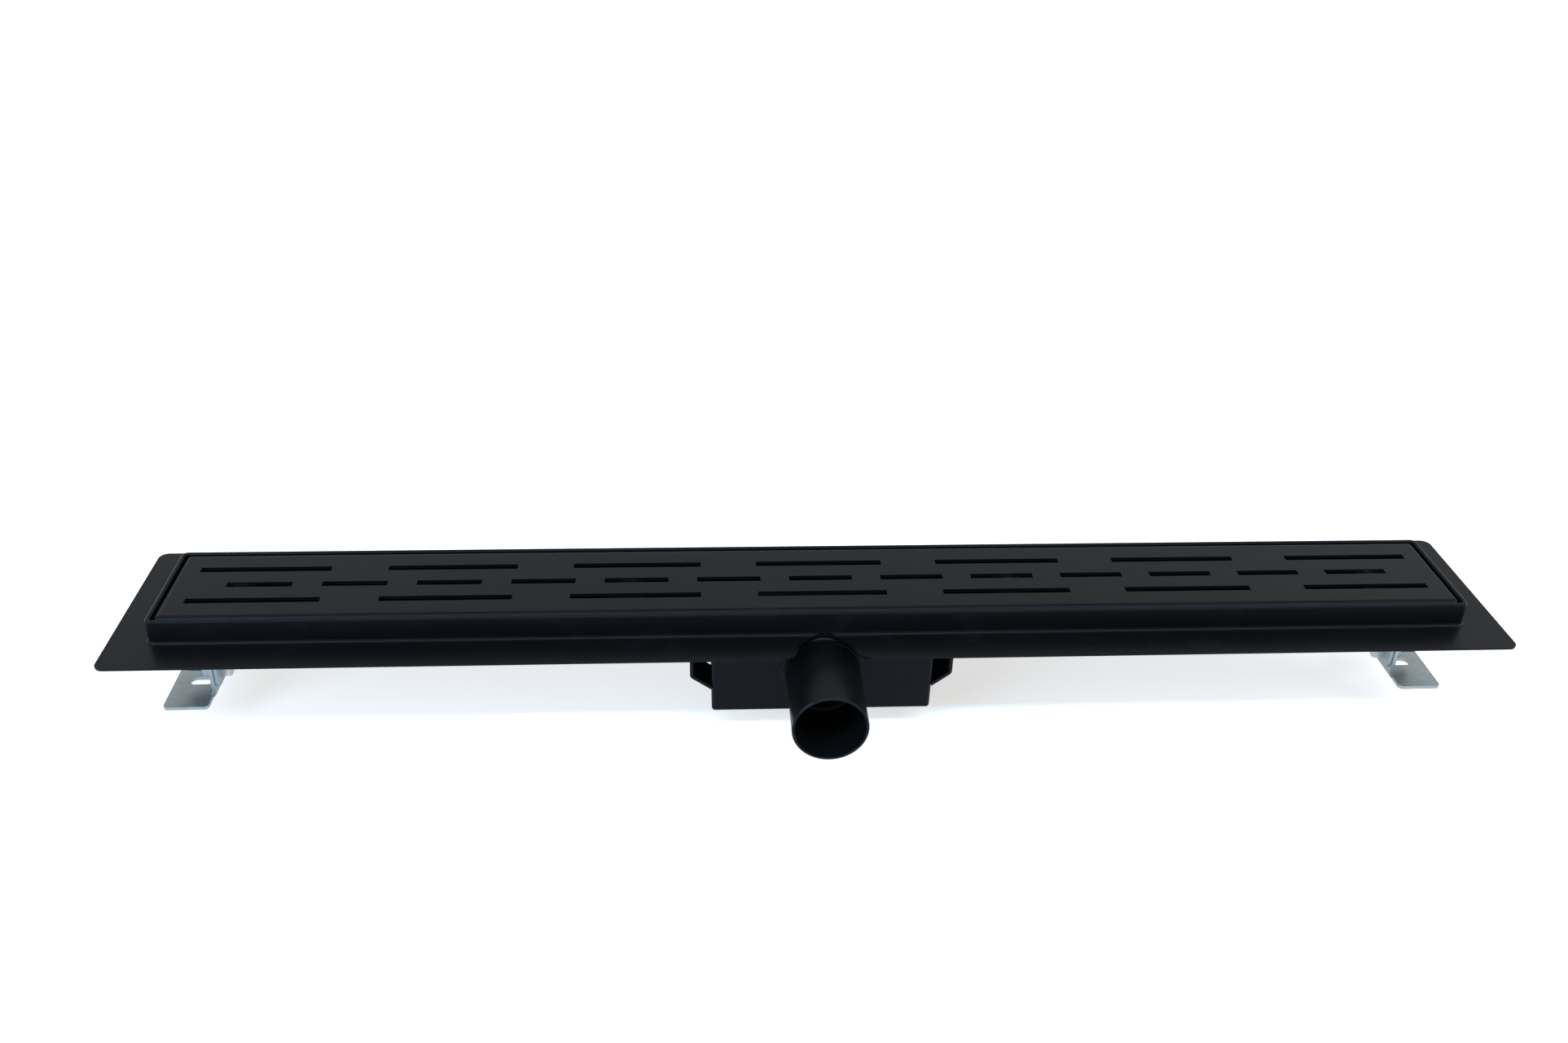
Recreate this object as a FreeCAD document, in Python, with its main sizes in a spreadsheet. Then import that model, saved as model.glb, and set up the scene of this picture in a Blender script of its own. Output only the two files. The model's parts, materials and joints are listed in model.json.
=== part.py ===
"""Linear shower channel drain with a slotted grate, side outlet and adjustable feet.

Millimetres, +Z up. X runs along the channel, the outlet pipe points to -Y, and the origin
is on the underside of the sump, below the middle of the grate.
"""
import FreeCAD, Part
import os
import re

import Sketcher
from FreeCAD import Placement, Rotation, Vector

# Driving dimensions: alias, value, meaning.
SIZES = [
    ("frame_length", 700, "outside length of the raised frame"),
    ("frame_width", 68, "outside width of the raised frame"),
    ("total_height", 65, "top of the grate above the floor"),
    ("sheet", 1.2, "steel of the channel"),
    ("flange_border", 21, "width of the flange outside the frame"),
    ("flange_drop", 14, "top of the frame down to the flange"),
    ("flange_corner", 5, "corner radius of the flange"),
    ("frame_corner", 3.4, "upright corners of the frame"),
    ("crest_radius", 1.1, "rounding of the frame's hemmed crest"),
    ("fold_radius", 2, "bend between flange and frame"),
    ("notch_radius", 15.4, "arch cut in the flange over the outlet"),
    ("notch_centre_out", 15.2, "centre of that arch, out from the frame"),
    ("notch_lip", 7.5, "rounding of the arch into the flange's front edge"),
    ("trough_end_drop", 23, "top of the frame to the trough's underside, at its ends"),
    ("trough_mid_drop", 26, "top of the frame to the trough's underside, at the sump"),
    ("trough_level", 50, "level stretch of the trough at each end"),
    ("trough_bend", 2, "outside bend of the trough's bottom edges"),
    ("sump_length", 120, "outside length of the sump, along the channel"),
    ("sump_sheet", 1.5, "steel of the sump"),
    ("sump_bend", 2, "outside bends of the sump"),
    ("pipe_diameter", 40, "outside of the outlet pipe"),
    ("pipe_wall", 1.5, "wall of the outlet pipe"),
    ("pipe_height", 26, "axis of the outlet pipe above the floor"),
    ("pipe_reach", 48.4, "outlet pipe beyond the face of the frame"),
    ("pipe_step", 0.5, "how much the pipe's inserted end is turned down"),
    ("neck_wall", 2.1, "wall of the neck drawn round the pipe"),
    ("neck_reach", 2.5, "height of that neck"),
    ("weld_gap", 0.05, "gap round a pipe or stud that is welded or pressed in"),
    ("grate_sheet", 2, "steel of the grate"),
    ("grate_side_gap", 0.7, "gap between grate and frame, along the sides"),
    ("grate_end_gap", 1, "gap between grate and frame, at the ends"),
    ("grate_depth", 10, "depth of the grate over its turned-down edges"),
    ("grate_bend", 3, "outside bend of the grate's edges"),
    ("slot_pitch", 100, "pitch of the long slots"),
    ("slot_long", 69.5, "length of a long slot"),
    ("slot_short", 34.4, "length of a short slot"),
    ("slot_width", 4.5, "width of every slot"),
    ("slot_row", 15, "outer rows from the middle row"),
    ("slot_land", 10, "least metal between a slot and the grate's end"),
    ("brace_sheet", 2, "steel of the sump's side braces"),
    ("brace_width", 15.5, "width of a brace"),
    ("brace_toe", 20, "angle that a brace turns in towards the back, degrees"),
    ("brace_out", 9, "bend of a brace from the sump's side, at its middle"),
    ("brace_y", -21, "middle of a brace, along the sump's side"),
    ("brace_bend_height", 20, "bend of a brace above the floor"),
    ("brace_fall", 23, "slope of a brace's lower leg, degrees"),
    ("bridge_inset", 38, "outer bridges from the frame's ends"),
    ("bridge_width", 16, "grate bridge, along the channel"),
    ("bridge_sheet", 1.5, "steel of a grate bridge"),
    ("bridge_clear", 1.4, "bridge foot to the grate's turned-down edge"),
    ("bridge_foot", 4.5, "length of a bridge's foot"),
    ("bridge_seat", 18, "half length of the sunk middle of a bridge"),
    ("bridge_sink", 3.4, "depth of that sunk middle"),
    ("spacer_flats", 8, "hexagon spacer across its flats"),
    ("screw_diameter", 5, "screw of a grate bridge"),
    ("screw_length", 10, "shank of that screw"),
    ("screw_head", 9.5, "diameter of its domed head"),
    ("screw_dome", 3, "height of its domed head"),
    ("bracket_sheet", 2, "galvanised steel of the foot bracket"),
    ("bracket_inset", 20.5, "outer face of the bracket from the frame's end"),
    ("bracket_width", 24, "width of the foot bracket, across the channel"),
    ("bracket_floor", 6, "lower end of the bracket above the floor"),
    ("bracket_tab", 16, "tab of the bracket under the trough"),
    ("bracket_bend", 3, "outside bend of the bracket"),
    ("stud_diameter", 5, "weld stud that carries a bracket"),
    ("stud_reach", 9, "length of that stud below the trough"),
    ("foot_sheet", 2, "galvanised steel of the foot"),
    ("foot_gap", 0.05, "sliding gap on each side of a foot's upright"),
    ("foot_reach", 26, "base plate from the inner face of the upright outwards"),
    ("foot_depth", 47, "base plate across the channel"),
    ("foot_corner", 2.5, "corner radius of the base plate"),
    ("upright_width", 26, "upright of the foot, across the channel"),
    ("upright_height", 34, "upright of the foot above the floor"),
    ("upright_corner", 3, "top corners of the upright"),
    ("foot_bend", 3.5, "outside bend of the foot"),
    ("foot_travel", 15, "height adjustment of the foot"),
    ("foot_slot_length", 13, "floor fixing slot, end to end"),
    ("foot_slot_width", 6.5, "floor fixing slot, across"),
    ("foot_slot_out", 11.45, "centre of that slot from the upright's inner face"),
    ("bolt_diameter", 6, "clamping bolt of a foot"),
    ("bolt_length", 20, "shank of that bolt"),
    ("bolt_flats", 10, "bolt head and nut across their flats"),
    ("bolt_head", 4, "height of the bolt head"),
    ("bolt_height", 11.5, "axis of the bolt above the floor"),
    ("bolt_play", 0.3, "gap round the bolt in the slot and the bracket"),
    ("nut_height", 5, "height of the clamping nut"),
    ("washer_diameter", 12, "washer under that nut"),
    ("washer_sheet", 1.6, "thickness of the washer"),
    ("small_nut_flats", 8, "nut of the weld stud across its flats"),
    ("small_nut_height", 4, "height of that nut"),
    ("thread_gap", 0.05, "gap between a thread and its nut"),
    ("trap_wall", 1.5, "plastic wall of the trap"),
    ("trap_width", 60, "trap chamber along the channel"),
    ("trap_depth", 30.8, "trap chamber from the front wall backwards"),
    ("trap_top", 47, "top of the trap chamber above the floor"),
    ("trap_front_gap", 0.5, "trap chamber to the sump's front wall"),
    ("trap_weir", 30, "height of the trap's weir above the floor"),
    ("trap_weir_y", -15.5, "rear face of the weir"),
    ("trap_dip", 10, "mouth under the trap's rear wall above the floor"),
    ("spigot_gap", 0.4, "gap between the trap's spigot and the pipe"),
    ("spigot_wall", 2.6, "wall of the trap's spigot"),
    ("spigot_end", 45, "end of the spigot in front of the middle plane"),
    ("seal_y", 38.5, "sealing ring in front of the middle plane"),
    ("seal_section", 1.6, "thickness of the sealing ring"),
    ("cap_flange", 1.5, "thickness of the trap's lid"),
    ("cap_grip", 3, "height of the lid's grip"),
    ("cap_plug", 3, "depth of the lid's plug"),
    ("fit_gap", 0.3, "gap round parts that drop in by hand"),
    ("strainer_sheet", 1, "steel of the hair strainer"),
    ("strainer_drop", 11.5, "top of the grate down to the top of the strainer"),
    ("strainer_rim", 6, "rim of the strainer on the trough's floor"),
    ("strainer_slot", 20, "length of a slot in the strainer"),
    ("strainer_slot_width", 3.2, "width of a slot in the strainer"),
    ("strainer_pitch", 20, "pitch of those slots along the channel"),
    ("strainer_row", 14, "rows of those slots from the middle plane"),
    ("handle_sheet", 1, "steel of the strainer's handle"),
    ("handle_width", 4, "width of the strip of that handle"),
    ("handle_span", 28, "distance over that handle's walls"),
    ("handle_foot", 4, "length of that handle's feet"),
    ("handle_y", 3, "handle in front of the middle plane"),
    ("handle_rise", 7.5, "height of that handle over the strainer"),
]
ALIASES = {alias for alias, number, meaning in SIZES}
PI = 3.141592653589793

# Named measures that follow from the driving dimensions.
DERIVED = {
    "half_length": "frame_length / 2",
    "half_width": "frame_width / 2",
    "rim": "2 * sheet",
    "flange_top": "total_height - flange_drop",
    "flange_under": "flange_top - sheet",
    "trough_half_length": "half_length - sheet",
    "trough_half_width": "half_width - sheet",
    "inner_half_length": "half_length - rim",
    "inner_half_width": "half_width - rim",
    "end_under": "total_height - trough_end_drop",
    "mid_under": "total_height - trough_mid_drop",
    "end_floor": "end_under + sheet",
    "mid_floor": "mid_under + sheet",
    "level_x": "half_length - trough_level",
    "fall_x": "sump_half - 10",
    "sump_half": "sump_length / 2",
    "notch_y": "half_width + notch_centre_out",
    "lip_y": "half_width + flange_border - notch_lip",
    "lip_x": "sqrt((notch_radius + notch_lip)^2 - (lip_y - notch_y)^2)",
    "lip_share": "notch_radius / (notch_radius + notch_lip)",
    "notch_open": "sqrt(max(notch_radius^2 - notch_centre_out^2; 1))",
    "inner_corner": "frame_corner - rim",
    "pipe_radius": "pipe_diameter / 2",
    "pipe_bore": "pipe_radius - pipe_wall",
    "neck_bore": "pipe_radius - pipe_step + weld_gap",
    "sump_inner_half_width": "trough_half_width - sump_sheet",
    "grate_half_length": "inner_half_length - grate_end_gap",
    "grate_half_width": "inner_half_width - grate_side_gap",
    "grate_under": "total_height - grate_sheet",
    "grate_seam": "total_height - grate_bend - 0.5",
    "skirt_half": "grate_half_length - 3 * grate_bend",
    "flange_half_length": "half_length + flange_border",
    "flange_half_width": "half_width + flange_border",
    "long_span": "grate_half_length - slot_land - slot_long / 2",
    "long_steps": "floor(long_span / slot_pitch)",
    "short_span": "grate_half_length - slot_land - slot_short / 2",
    "short_steps": "floor(2 * short_span / slot_pitch)",
    "bridge_step": "(frame_length - 2 * bridge_inset) / 3",
    "bridge_half": "grate_half_width - grate_sheet - bridge_clear",
    "screw_radius": "screw_diameter / 2",
    "bracket_face": "half_length - bracket_inset",
    "upright_face": "bracket_face + foot_gap",
    "upright_back": "upright_face + foot_sheet",
    "bolt_hole": "bolt_diameter / 2 + bolt_play",
    "bracket_seat": "bracket_face - bracket_sheet",
    "washer_face": "upright_back + foot_gap",
    "nut_face": "washer_face + washer_sheet",
    "stud_x": "bracket_face - bracket_sheet - bracket_tab / 2",
    "trap_front": "sump_inner_half_width - trap_front_gap",
    "trap_rear": "trap_depth - trap_front",
    "trap_base": "sump_sheet + 0.2",
    "spigot_radius": "pipe_bore - spigot_gap",
    "spigot_bore": "spigot_radius - spigot_wall",
    "strainer_half_width": "inner_half_width - 1.5",
    "strainer_top": "total_height - strainer_drop",
}

OUTSIDE = 5  # how far a cutting profile runs past the metal

doc = FreeCAD.newDocument("channel_drain")
sheet = doc.addObject("Spreadsheet::Sheet", "sizes")


def bound(text):
    """The expression with each alias and derived name written out for the document."""
    def word(match):
        name = match.group(0)
        if name in DERIVED:
            return "(" + bound(DERIVED[name]) + ")"
        return "sizes." + name if name in ALIASES else name
    return re.sub(r"[a-z][a-z_]*", word, text)


def value(text):
    """The number that an expression has now."""
    return float(sheet.evalExpression(bound(text)))


def fill_sheet():
    """One row for each driving dimension: alias, number, meaning."""
    for row, (alias, number, meaning) in enumerate(SIZES, 1):
        sheet.set(f"A{row}", alias)
        sheet.set(f"B{row}", str(number))
        sheet.setAlias(f"B{row}", alias)
        sheet.set(f"C{row}", meaning)
    doc.recompute()


# ---------------------------------------------------------------- sketches and features

def new_body(name, place=None):
    """An empty body whose label names its file."""
    made = doc.addObject("PartDesign::Body", name)
    made.Label = name
    if place:
        made.Placement = place
    return made


def new_sketch(body, name, role="XY_Plane", offset="0"):
    """A sketch on one of the body's own origin planes, moved along its normal."""
    made = body.newObject("Sketcher::SketchObject", name)
    planes = [item for item in body.Origin.OriginFeatures if item.Role == role]
    made.AttachmentSupport = [(planes[0], "")]
    made.MapMode = "FlatFace"
    made.setExpression("AttachmentOffset.Base.z", bound(offset))
    return made


def pin_axis(made, geometry, point, kind, text):
    """Ties a point of the sketch to an expression along one axis."""
    at = made.addConstraint(Sketcher.Constraint(kind, -1, 1, geometry, point, value(text)))
    made.setExpression(f"Constraints[{at}]", bound(text))


def pin_down(made, geometry, point, x, y):
    """Ties a point of the sketch to expressions for its place."""
    pin_axis(made, geometry, point, "DistanceX", x)
    pin_axis(made, geometry, point, "DistanceY", y)


def tie_radius(made, geometry, text):
    at = made.addConstraint(Sketcher.Constraint("Radius", geometry, value(text)))
    made.setExpression(f"Constraints[{at}]", bound(text))


def add_arc(made, start, end, radius, turn):
    """An arc from start to end that turns left (1) or right (-1); gives its end points' codes."""
    chord = end - start
    left = Vector(-chord.y, chord.x, 0).normalize()
    rise = max(radius ** 2 - (chord.Length / 2) ** 2, 0) ** 0.5
    centre = start + chord * 0.5 + left * (rise * turn)
    circle = Part.Circle(centre, Vector(0, 0, 1), radius)
    angles = [circle.parameter(start), circle.parameter(end)]
    if turn < 0:
        angles.reverse()
    if angles[1] < angles[0]:
        angles[1] += 2 * PI
    made.addGeometry(Part.ArcOfCircle(circle, angles[0], angles[1]))
    return (1, 2) if turn > 0 else (2, 1)


def outline(made, corners):
    """A closed outline. A corner is (x, y), or (x, y, radius, turn) where an arc leads on
    from it to the next corner. A half circle is tied by its centre, given as a fifth item."""
    spots = [Vector(value(corner[0]), value(corner[1]), 0) for corner in corners]
    first = made.GeometryCount
    codes = []
    for index, corner in enumerate(corners):
        start = spots[index]
        end = spots[(index + 1) % len(spots)]
        if len(corner) > 2:
            codes.append(add_arc(made, start, end, value(corner[2]), corner[3]))
            continue
        made.addGeometry(Part.LineSegment(start, end))
        codes.append((1, 2))
    for index, corner in enumerate(corners):
        following = (index + 1) % len(corners)
        made.addConstraint(Sketcher.Constraint(
            "Coincident", first + index, codes[index][1], first + following, codes[following][0]))
        pin_down(made, first + index, codes[index][0], corner[0], corner[1])
        if len(corner) == 4:
            tie_radius(made, first + index, corner[2])
        if len(corner) == 5:
            pin_axis(made, first + index, 3, *corner[4])


def box_outline(made, x_low, x_high, y_low, y_high):
    outline(made, [(x_low, y_low), (x_high, y_low), (x_high, y_high), (x_low, y_high)])


def pill(made, x, y, length, width, upright=False):
    """A slot outline with round ends, centred on x, y and lying along x or upright."""
    reach = f"(({length}) - ({width})) / 2"
    half = f"({width}) / 2"
    if upright:
        outline(made, [
            (f"{x} + {half}", f"{y} - {reach}"),
            (f"{x} + {half}", f"{y} + {reach}", half, 1, ("DistanceY", f"{y} + {reach}")),
            (f"{x} - {half}", f"{y} + {reach}"),
            (f"{x} - {half}", f"{y} - {reach}", half, 1, ("DistanceY", f"{y} - {reach}"))])
    else:
        outline(made, [
            (f"{x} - {reach}", f"{y} - {half}"),
            (f"{x} + {reach}", f"{y} - {half}", half, 1, ("DistanceX", f"{x} + {reach}")),
            (f"{x} + {reach}", f"{y} + {half}"),
            (f"{x} - {reach}", f"{y} + {half}", half, 1, ("DistanceX", f"{x} - {reach}"))])


def circle(made, x, y, radius):
    centre = Vector(value(x), value(y), 0)
    made.addGeometry(Part.Circle(centre, Vector(0, 0, 1), value(radius)))
    at = made.GeometryCount - 1
    pin_down(made, at, 3, x, y)
    tie_radius(made, at, radius)


def hexagon(made, x, y, flats):
    """A hexagon by its width across the flats, with a corner up and one down."""
    side, low, high = f"({flats}) / 2", f"({flats}) * 0.288675", f"({flats}) * 0.577350"
    outline(made, [
        (f"{x} + {side}", f"{y} - {low}"), (f"{x} + {side}", f"{y} + {low}"),
        (x, f"{y} + {high}"), (f"{x} - {side}", f"{y} + {low}"),
        (f"{x} - {side}", f"{y} - {low}"), (x, f"{y} - {high}")])


def sweep_sketch(body, kind, made, length, both=False, back=False):
    """A pad or pocket of a sketch; both = half to each side, back = the other direction."""
    feature = body.newObject("PartDesign::" + kind, made.Name + "_" + kind.lower())
    feature.Profile = made
    feature.setExpression("Length", bound(length))
    feature.SideType = "Symmetric" if both else "One side"
    feature.Reversed = back
    doc.recompute()
    return feature


def pad(body, made, length, both=False, back=False):
    return sweep_sketch(body, "Pad", made, length, both, back)


def pocket(body, made, length, both=False, back=False):
    return sweep_sketch(body, "Pocket", made, length, both, back)


def edges(feature, keep):
    """Names of the edges whose bounding box passes the test."""
    return [f"Edge{n}" for n, edge in enumerate(feature.Shape.Edges, 1) if keep(edge.BoundBox)]


def soften(body, kind, feature, size, keep):
    """A fillet or chamfer on the edges that pass the test."""
    made = body.newObject("PartDesign::" + kind, kind.lower())
    made.Base = (feature, edges(feature, keep))
    made.setExpression("Radius" if kind == "Fillet" else "Size", bound(size))
    doc.recompute()
    return made


def near(number, text):
    return abs(number - value(text)) < 0.01


def flat(box, axis, text):
    """True when the whole box lies at one place along an axis."""
    low, high = getattr(box, axis + "Min"), getattr(box, axis + "Max")
    return near(low, text) and near(high, text)


def upright_edge(box):
    return box.ZLength > 0.5 and box.XLength < 0.01 and box.YLength < 0.01


def repeat(body, feature, length, count):
    """Copies of a feature in a row along +X."""
    made = body.newObject("PartDesign::LinearPattern", "row")
    made.Originals = [feature]
    axis = [item for item in body.Origin.OriginFeatures if item.Role == "X_Axis"][0]
    made.Direction = (axis, [""])
    made.setExpression("Length", bound(length))
    made.setExpression("Occurrences", bound(count))
    body.Tip = made
    doc.recompute()
    return made


def crown(body, name, along, centre, face, out, flats):
    """Turns the corners of a hexagon down at one face, as on a rolled nut. The hexagon's
    axis runs along the sketch's x or y, at `centre` on the other one."""
    def corner(off, place):
        off = f"{centre} + ({flats}) * {off}"
        place = f"{face} - ({flats}) * {place * out}"
        return (place, off) if along == "x" else (off, place)
    made = new_sketch(body, name, "XZ_Plane")
    outline(made, [corner(0.49, 0), corner(0.62, 0), corner(0.62, 0.075)])
    ends = [corner(0, 0), corner(0, 1)]
    line = [Vector(value(x), value(y), 0) for x, y in ends]
    made.addGeometry(Part.LineSegment(line[0], line[1]), True)
    at = made.GeometryCount - 1
    for point, (x, y) in enumerate(ends, 1):
        pin_down(made, at, point, x, y)
    cut = body.newObject("PartDesign::Groove", name + "_groove")
    cut.Profile = made
    cut.ReferenceAxis = (made, ["Axis0"])
    cut.Angle = 360
    doc.recompute()
    return cut


# ---------------------------------------------------------------- channel, sump and outlet

def trough_profile(made, end_x, top, end_z, mid_z):
    """Side view of the trough: level ends, a fall to the sump and a level middle."""
    low = [(f"-({end_x})", end_z), ("-level_x", end_z), ("-fall_x", mid_z),
           ("fall_x", mid_z), ("level_x", end_z), (end_x, end_z)]
    outline(made, low + [(end_x, top), (f"-({end_x})", top)])


def cut_away(body, name, x_low, x_high, y_low, y_high):
    """Removes everything inside a rectangle of the plan, over the whole height."""
    made = new_sketch(body, name, offset=f"total_height + {OUTSIDE}")
    box_outline(made, x_low, x_high, y_low, y_high)
    pocket(body, made, f"total_height + 2 * {OUTSIDE}")


def build_channel(name, kept_x, kept_y):
    """One section of the channel: the whole of it, cut down to the kept side of the sump."""
    body = new_body(name)
    made = new_sketch(body, "flange", offset="flange_under")
    box_outline(made, "-flange_half_length", "flange_half_length",
                "-flange_half_width", "flange_half_width")
    flange = pad(body, made, "sheet")
    flange = soften(body, "Fillet", flange, "flange_corner", upright_edge)
    made = new_sketch(body, "frame", offset="flange_under")
    box_outline(made, "-half_length", "half_length", "-half_width", "half_width")
    frame = pad(body, made, "flange_drop + sheet")
    frame = soften(body, "Fillet", frame, "frame_corner", lambda box: upright_edge(box)
                   and box.ZLength > value("flange_drop") - 0.5)
    frame = soften(body, "Fillet", frame, "fold_radius", lambda box: flat(box, "Z", "flange_top")
                   and box.XMin > -value("half_length") - 1 and box.XMax < value("half_length") + 1
                   and box.YMin > -value("half_width") - 1 and box.YMax < value("half_width") + 1)
    made = new_sketch(body, "trough", "XZ_Plane")
    trough_profile(made, "trough_half_length", "flange_under", "end_under", "mid_under")
    trough = pad(body, made, "2 * trough_half_width", both=True)
    trough = soften(body, "Fillet", trough, "inner_corner + sheet", lambda box: upright_edge(box)
                    and near(box.ZMin, "end_under") and near(abs(box.XMin), "trough_half_length"))
    trough = soften(body, "Fillet", trough, "trough_bend", is_low_edge("trough_half_length",
                                                                       "trough_half_width"))
    made = new_sketch(body, "inside", "XZ_Plane")
    trough_profile(made, "inner_half_length", f"total_height + {OUTSIDE}", "end_floor", "mid_floor")
    inside = pocket(body, made, "2 * inner_half_width", both=True)
    inside = soften(body, "Fillet", inside, "inner_corner", lambda box: upright_edge(box)
                    and near(box.ZMin, "end_floor") and near(abs(box.XMin), "inner_half_length"))
    inside = soften(body, "Fillet", inside, "trough_bend - sheet", is_low_edge(
        "inner_half_length", "inner_half_width"))
    made = new_sketch(body, "sump_opening", "XZ_Plane")
    box_outline(made, "-sump_half", "sump_half", f"mid_under - {OUTSIDE}", "flange_under")
    opening = pocket(body, made, f"2 * trough_half_width + {OUTSIDE}", both=True)
    soften(body, "Fillet", opening, "crest_radius", lambda box: flat(
        box, "Z", "total_height"))
    made = new_sketch(body, "notch", offset=f"flange_under - {OUTSIDE}")
    front = "-flange_half_width"
    join_x = "lip_x * lip_share"
    join_y = "-notch_y - (lip_y - notch_y) * lip_share"
    outline(made, [
        ("-lip_x", front, "notch_lip", 1), (f"-({join_x})", join_y, "notch_radius", -1),
        ("-notch_open", "-half_width"), ("notch_open", "-half_width", "notch_radius", -1),
        (join_x, join_y, "notch_lip", 1), ("lip_x", front),
        ("lip_x", f"{front} - {OUTSIDE}"), ("-lip_x", f"{front} - {OUTSIDE}")])
    pocket(body, made, f"{OUTSIDE} + sheet + fold_radius + 1", back=True)
    far_x, far_y = f"(flange_half_length + {OUTSIDE})", f"(flange_half_width + {OUTSIDE})"
    if kept_x >= 0:
        edge = "sump_half" if kept_x else "-sump_half"
        cut_away(body, "left_cut", f"-{far_x}", edge, f"-{far_y}", far_y)
    if kept_x <= 0:
        edge = "-sump_half" if kept_x else "sump_half"
        cut_away(body, "right_cut", edge, far_x, f"-{far_y}", far_y)
    if kept_y < 0:
        cut_away(body, "back_cut", f"-{far_x}", far_x, "0", far_y)
    if kept_y > 0:
        cut_away(body, "front_cut", f"-{far_x}", far_x, f"-{far_y}", "0")


def is_low_edge(half_length, half_width):
    """Test for the bottom edges of the trough: both long sides and both ends."""
    long_side, end = value(half_width), value(half_length)

    def keep(box):
        if box.ZMax > value("end_floor") + 0.1:
            return False
        along = abs(abs(box.YMin) - long_side) < 0.01 and box.YLength < 0.01
        across = abs(abs(box.XMin) - end) < 0.01 and box.XLength < 0.01
        return (along and box.XLength > 5) or (across and box.YLength > 5)
    return keep


def build_sump():
    body = new_body("sump_box")
    made = new_sketch(body, "base")
    box_outline(made, "-sump_half", "sump_half", "-trough_half_width", "trough_half_width")
    base = pad(body, made, "mid_under")
    base = soften(body, "Fillet", base, "sump_bend", lambda box: upright_edge(box)
                  or flat(box, "Z", "0"))
    made = new_sketch(body, "collar", offset="mid_under")
    box_outline(made, "-sump_half", "sump_half", "-trough_half_width", "trough_half_width")
    pad(body, made, "flange_under - mid_under")
    made = new_sketch(body, "neck", "XZ_Plane", "trough_half_width")
    circle(made, "0", "pipe_height", "neck_bore + neck_wall")
    neck = pad(body, made, "neck_reach")
    soften(body, "Chamfer", neck, "0.9", lambda box: box.XLength > 30
                  and flat(box, "Y", "-trough_half_width") and box.ZLength > 30
                  and box.XLength < 50)
    made = new_sketch(body, "chamber", offset="sump_sheet")
    box_outline(made, "-sump_half + sump_sheet", "sump_half - sump_sheet",
                "-sump_inner_half_width", "sump_inner_half_width")
    chamber = pocket(body, made, "total_height", back=True)
    soften(body, "Fillet", chamber, "sump_bend - sump_sheet", lambda box: upright_edge(box)
           and abs(box.XMin) < value("sump_half") - 1)
    made = new_sketch(body, "side_openings", "YZ_Plane")
    box_outline(made, "-sump_inner_half_width", "sump_inner_half_width",
                "mid_floor", f"flange_under + {OUTSIDE}")
    pocket(body, made, f"sump_length + {OUTSIDE}", both=True)
    made = new_sketch(body, "pipe_hole", "XZ_Plane", "trough_half_width + neck_reach")
    circle(made, "0", "pipe_height", "neck_bore")
    pocket(body, made, "neck_reach + sump_sheet + 1")


def build_pipe():
    body = new_body("outlet_pipe")
    shoulder = "trough_half_width + neck_reach + 0.5"
    made = new_sketch(body, "inserted_end", "XZ_Plane", "sump_inner_half_width")
    circle(made, "0", "pipe_height", "pipe_radius - pipe_step")
    circle(made, "0", "pipe_height", "pipe_bore")
    pad(body, made, f"{shoulder} - sump_inner_half_width")
    made = new_sketch(body, "free_end", "XZ_Plane", shoulder)
    circle(made, "0", "pipe_height", "pipe_radius")
    circle(made, "0", "pipe_height", "pipe_bore")
    pipe = pad(body, made, f"half_width + pipe_reach - ({shoulder})")
    mouth = "-half_width - pipe_reach"
    pipe = soften(body, "Chamfer", pipe, "pipe_wall * 0.45", lambda box: flat(box, "Y", mouth)
                  and near(box.XLength, "pipe_diameter"))
    soften(body, "Chamfer", pipe, "pipe_wall * 0.25", lambda box: flat(box, "Y", mouth)
           and near(box.XLength, "2 * pipe_bore"))
    return body


def build_brace(name, side):
    """A bent strip from the trough down to the sump's side wall, turned in to the back."""
    body = new_body(name)
    body.setExpression("Placement.Base.x", bound(f"{side} * (sump_half + brace_out)"))
    body.setExpression("Placement.Base.y", bound("brace_y"))
    angle = "brace_toe" if side > 0 else "180 - brace_toe"
    body.Placement.Rotation = Rotation(Vector(0, 0, 1), value(angle))
    body.setExpression("Placement.Rotation.Angle", bound(angle))
    reach = "(brace_out + brace_width)"
    rise = f"brace_sheet / cos(brace_fall) - brace_sheet * tan(brace_fall)"
    made = new_sketch(body, "bend", "XZ_Plane")
    outline(made, [
        ("0", "mid_under"), ("-brace_sheet", "mid_under"),
        ("-brace_sheet", f"brace_bend_height + {rise}"),
        (f"-{reach}", f"brace_bend_height - {reach} * tan(brace_fall)"
                      " + brace_sheet / cos(brace_fall)"),
        (f"-{reach}", f"brace_bend_height - {reach} * tan(brace_fall)"),
        ("0", "brace_bend_height")])
    strip = pad(body, made, "brace_width", both=True)
    strip = soften(body, "Fillet", strip, "brace_sheet * 1.25", lambda box: flat(box, "X", "0")
                   and flat(box, "Z", "brace_bend_height"))
    strip = soften(body, "Fillet", strip, "brace_sheet * 0.25", lambda box: flat(
        box, "X", "-brace_sheet") and flat(box, "Z", f"brace_bend_height + {rise}"))
    made = new_sketch(body, "wall_trim")
    slant = f"{side} * brace_width * tan(brace_toe)"
    wall = "-brace_out / cos(brace_toe)"
    outline(made, [(f"{wall} - {slant}", "-brace_width"), (f"{wall} + {slant}", "brace_width"),
                   ("-sump_half", "brace_width"), ("-sump_half", "-brace_width")])
    pocket(body, made, "mid_under", back=True)


# ---------------------------------------------------------------- grate and its supports

def grate_outside(body, name, low, height):
    """A block with the outline of the grate and its rounded corners."""
    made = new_sketch(body, name, offset=low)
    box_outline(made, "-grate_half_length", "grate_half_length",
                "-grate_half_width", "grate_half_width")
    block = pad(body, made, height)
    return soften(body, "Fillet", block, "grate_bend", upright_edge)


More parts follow.
